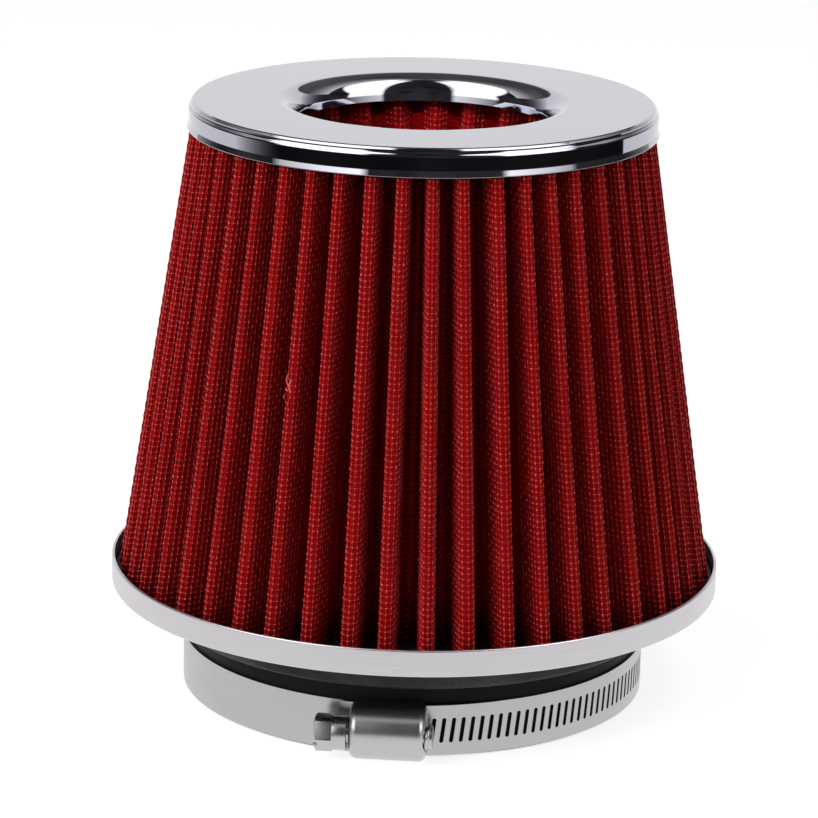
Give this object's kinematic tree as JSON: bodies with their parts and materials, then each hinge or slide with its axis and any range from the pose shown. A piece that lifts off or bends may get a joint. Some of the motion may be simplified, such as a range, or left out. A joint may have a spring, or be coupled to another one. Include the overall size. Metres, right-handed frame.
{
  "type": "cone air filter",
  "caption": "Open-top cone air filter: pleated red media under wire mesh, chrome cap with an inlet, chrome base ring, and a black rubber neck with a worm drive clamp.",
  "frame": {"origin": "on the filter's axis, at the end face of the neck, which is also the lowest point", "axes": "+Z along the axis from the neck up to the cap, -Y towards the clamp's screw housing, +X along the clamp screw away from its head"},
  "size_m": [0.1524, 0.1524, 0.1492],
  "materials": {
    "cap_chrome": "mirror polished",
    "ring_chrome": "satin",
    "red_media": "oiled gauze under coated wire mesh",
    "black_rubber": "satin",
    "band_steel": "satin",
    "screw_steel": "polished"
  },
  "bodies": {
    "filter": {"top_cap": "cap_chrome", "top_potting": "black_rubber", "outer_pleats": "red_media", "inner_pleats": "red_media", "inner_end_cup": "black_rubber", "base_moulding": "black_rubber", "base_ring": "ring_chrome", "clamp_band": "band_steel", "clamp_housing": "screw_steel"},
    "screw": {"clamp_screw": "screw_steel"}
  },
  "joints": [
    {"name": "screw_turn", "type": "hinge", "parent": "filter", "child": "screw", "pos_m": [0, -0.06245, 0.00705], "axis": [1, 0, 0], "continuous": true}
  ]
}
